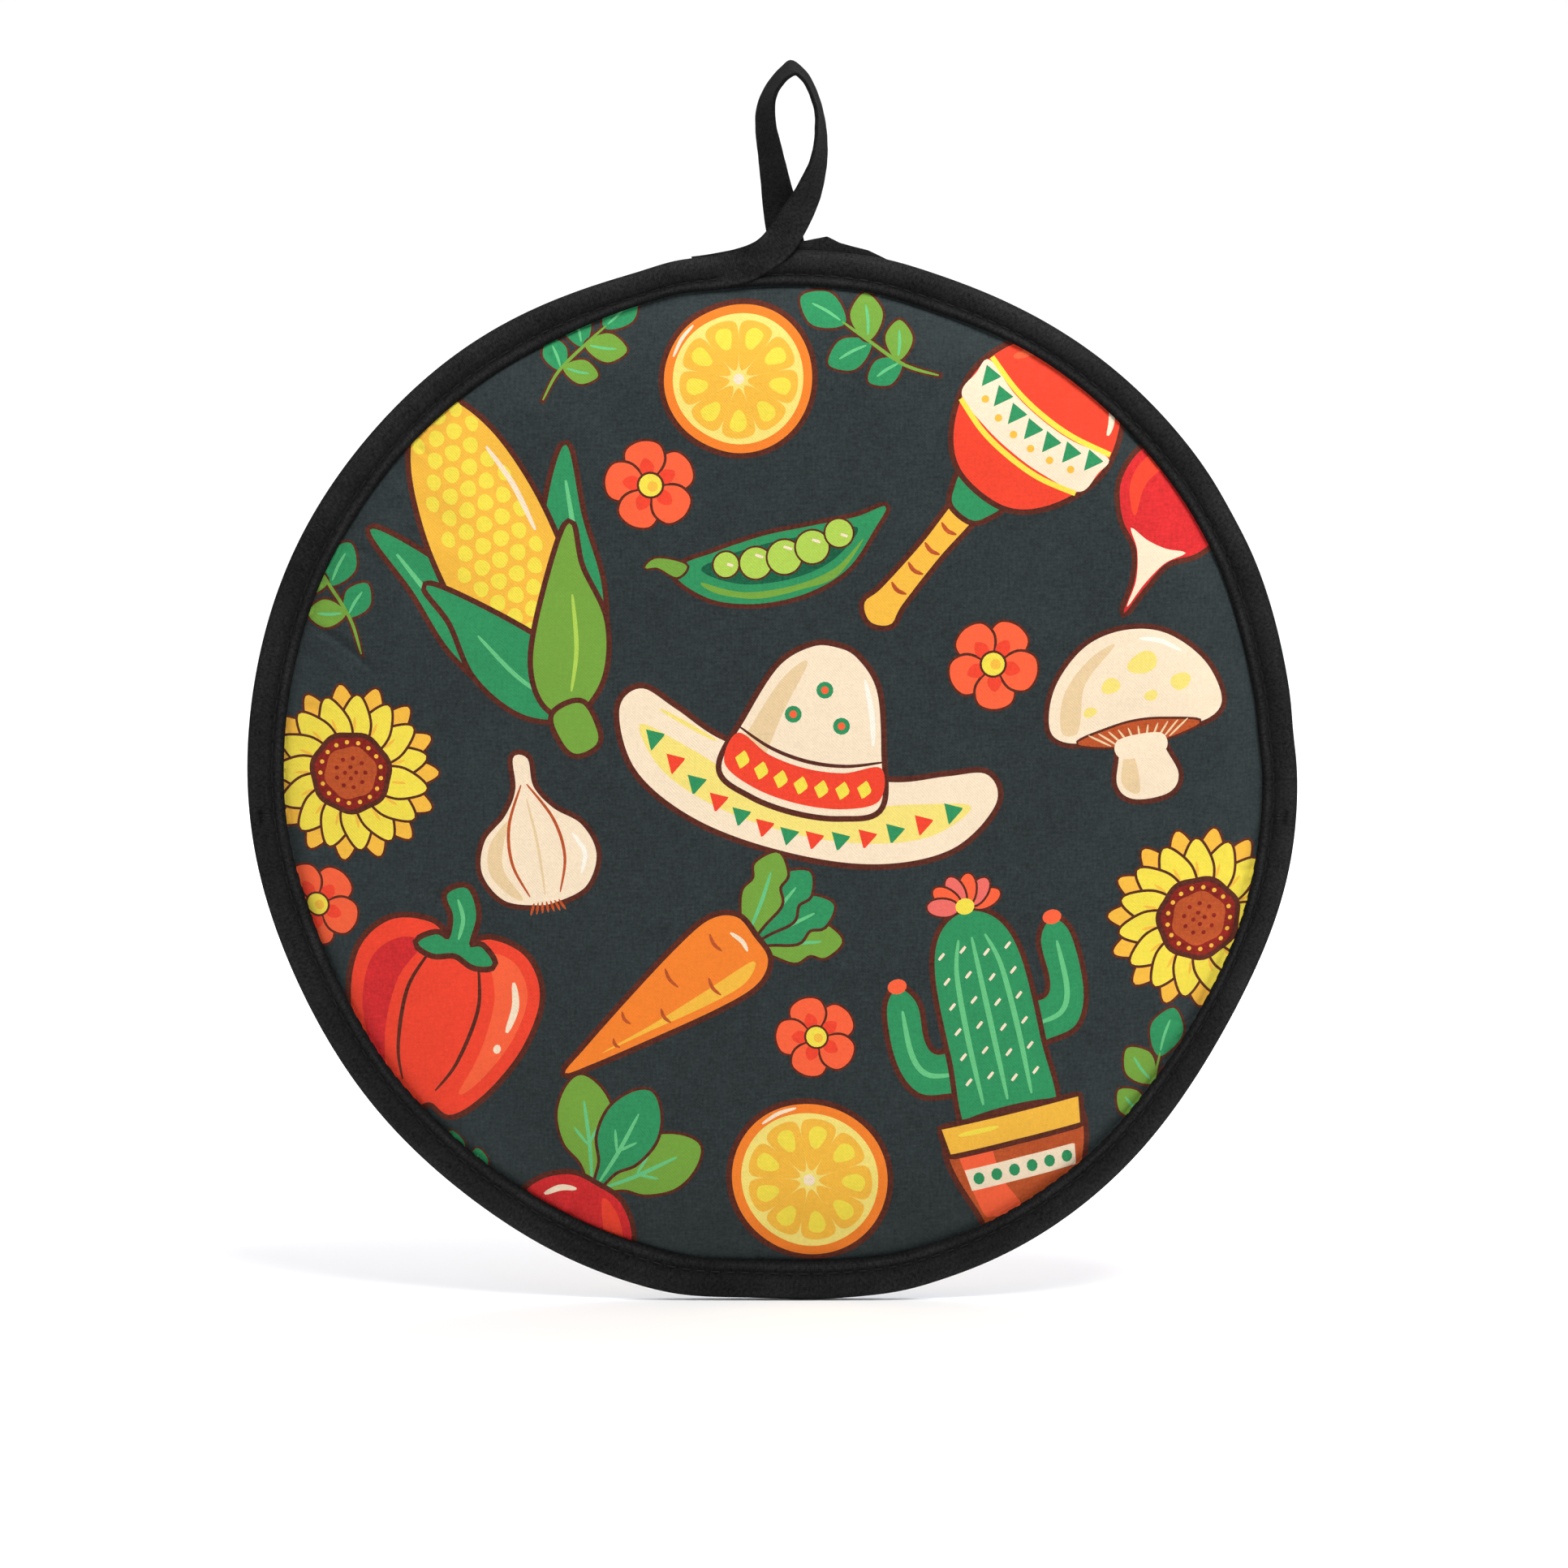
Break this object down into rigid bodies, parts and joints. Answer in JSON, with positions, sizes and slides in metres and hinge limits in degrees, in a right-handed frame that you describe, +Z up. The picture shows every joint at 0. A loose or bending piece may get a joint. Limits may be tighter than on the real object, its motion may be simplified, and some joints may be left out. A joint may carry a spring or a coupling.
{
  "type": "tortilla warmer",
  "caption": "Round padded cloth pouch with a printed cover, black bound edges, an open upper mouth, a lined pocket and a hanging loop of tape.",
  "frame": {"origin": "top of the hanging loop's eye, where a hook bears, in the middle of the loop's depth", "axes": "+Z up, +X to the right as seen from the front, front printed face towards -Y; the plane between the two discs is Y = 0"},
  "size_m": [0.3003, 0.0278, 0.3543],
  "materials": {
    "printed_cover": "matte woven cotton blend, slate ground with a printed multicolour vegetable design",
    "wadding": "lofted polyester wadding",
    "reflective_film": "metallised needled insulation film",
    "lining": "plain unbleached cotton",
    "binding_tape": "black woven bias tape",
    "thread": "black spun polyester thread"
  },
  "bodies": {
    "loop": {"hanging_loop": "binding_tape"},
    "front_lip": {"front_lip_cover": "printed_cover", "front_lip_wadding": "wadding", "front_lip_film": "reflective_film", "front_lip_lining": "lining", "front_lip_binding": "binding_tape", "front_lip_stitching": "thread", "loop_strap": "binding_tape", "loop_tail": "binding_tape", "loop_tack": "thread"},
    "sewn_half": {"front_base_cover": "printed_cover", "front_base_wadding": "wadding", "front_base_film": "reflective_film", "front_base_lining": "lining", "front_base_binding": "binding_tape", "front_base_stitching": "thread", "back_base_cover": "printed_cover", "back_base_wadding": "wadding", "back_base_film": "reflective_film", "back_base_lining": "lining", "back_base_binding": "binding_tape", "back_base_stitching": "thread", "closing_seam": "thread", "left_corner_tack": "thread", "right_corner_tack": "thread"},
    "back_lip": {"back_lip_cover": "printed_cover", "back_lip_wadding": "wadding", "back_lip_film": "reflective_film", "back_lip_lining": "lining", "back_lip_binding": "binding_tape", "back_lip_stitching": "thread"}
  },
  "joints": [
    {"name": "loop_swing", "type": "hinge", "parent": "loop", "child": "front_lip", "pos_m": [-0.00725, -0.00877, -0.04578], "axis": [1, 0, 0], "range_deg": [-90, 70]},
    {"name": "front_fold", "type": "hinge", "parent": "front_lip", "child": "sewn_half", "pos_m": [-0.00725, -0.0102, -0.2072], "axis": [-1, 0, 0], "range_deg": [-1.2, 120], "stiffness_Nm_per_rad": 0.15},
    {"name": "back_fold", "type": "hinge", "parent": "sewn_half", "child": "back_lip", "pos_m": [-0.00725, 0.0102, -0.2072], "axis": [-1, 0, 0], "range_deg": [-1.2, 120], "stiffness_Nm_per_rad": 0.15}
  ]
}
